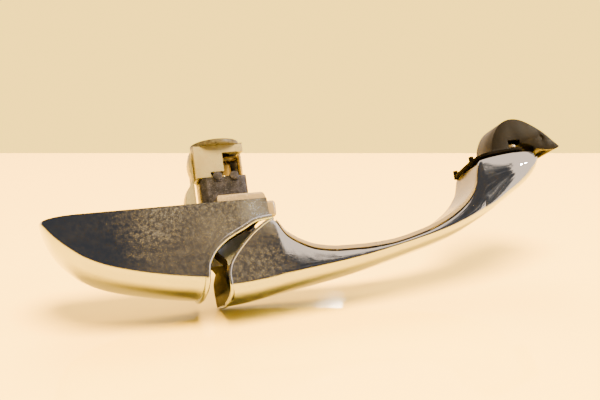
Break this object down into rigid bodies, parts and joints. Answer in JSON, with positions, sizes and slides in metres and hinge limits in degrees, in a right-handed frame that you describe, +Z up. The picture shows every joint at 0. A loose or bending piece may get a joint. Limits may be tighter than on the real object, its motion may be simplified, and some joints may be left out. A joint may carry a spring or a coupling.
{
  "type": "car door handle",
  "caption": "Exterior car door handle: chromed end cap with a lock tower, and a bowed pull grip that pivots on a black plastic hook.",
  "frame": {"origin": "centre of the end cap's flat door-side face", "axes": "+X along the handle from the end cap to the pivot hook; the handle leans back 30 degrees about X, as it lies when put down on its outer face, so the direction into the door is (0, 0.5, 0.866); +Z is up as it lies"},
  "size_m": [0.2516, 0.0576, 0.0759],
  "materials": {
    "chrome": "mirror-bright decorative chrome with fine dust and scratches",
    "liner": "satin bright plated moulding",
    "zinc": "bright die-cast zinc alloy, polished faces",
    "plated": "dark grey-violet passivated casting, mottled",
    "brass": "bare machined brass",
    "steel": "bright zinc-plated steel",
    "black_plastic": "satin moulded nylon",
    "rubber": "matt soft rubber"
  },
  "bodies": {
    "cap": {"cap_shell": "chrome", "cap_base": "plated", "base_screw_1": "steel", "base_screw_2": "steel", "lock_socket": "plated", "lock_housing": "zinc", "lock_guard": "brass", "fixing_claw": "zinc", "plug_spring": "steel"},
    "lock": {"lock_plug": "brass", "lock_cam": "brass", "cam_clip": "steel"},
    "wafer_a": {"wafer_1": "brass"},
    "wafer_b": {"wafer_2": "brass"},
    "wafer_c": {"wafer_3": "brass"},
    "grip": {"grip_shell": "chrome", "grip_liner": "liner", "pivot_hook": "black_plastic", "hook_screw": "steel", "front_pad": "rubber"}
  },
  "joints": [
    {"name": "grip_pull", "type": "hinge", "parent": "cap", "child": "grip", "pos_m": [0.195, 0.007, 0.01212], "axis": [0, -0.866, 0.5], "range_deg": [0, 10], "stiffness_Nm_per_rad": 9, "springref_deg": -11.46},
    {"name": "plug_turn", "type": "hinge", "parent": "cap", "child": "lock", "pos_m": [0.04, 0.005, 0.00866], "axis": [0, 0.5, 0.866], "range_deg": [-40, 10], "stiffness_Nm_per_rad": 0.05},
    {"name": "wafer_a_lift", "type": "slide", "parent": "lock", "child": "wafer_a", "axis": [0, -0.866, 0.5], "range_m": [0, 0.0008], "stiffness_N_per_m": 40, "springref_m": -0.0004},
    {"name": "wafer_b_lift", "type": "slide", "parent": "lock", "child": "wafer_b", "axis": [0, -0.866, 0.5], "range_m": [0, 0.0008], "stiffness_N_per_m": 40, "springref_m": -0.0004},
    {"name": "wafer_c_lift", "type": "slide", "parent": "lock", "child": "wafer_c", "axis": [0, -0.866, 0.5], "range_m": [0, 0.0008], "stiffness_N_per_m": 40, "springref_m": -0.0004}
  ]
}
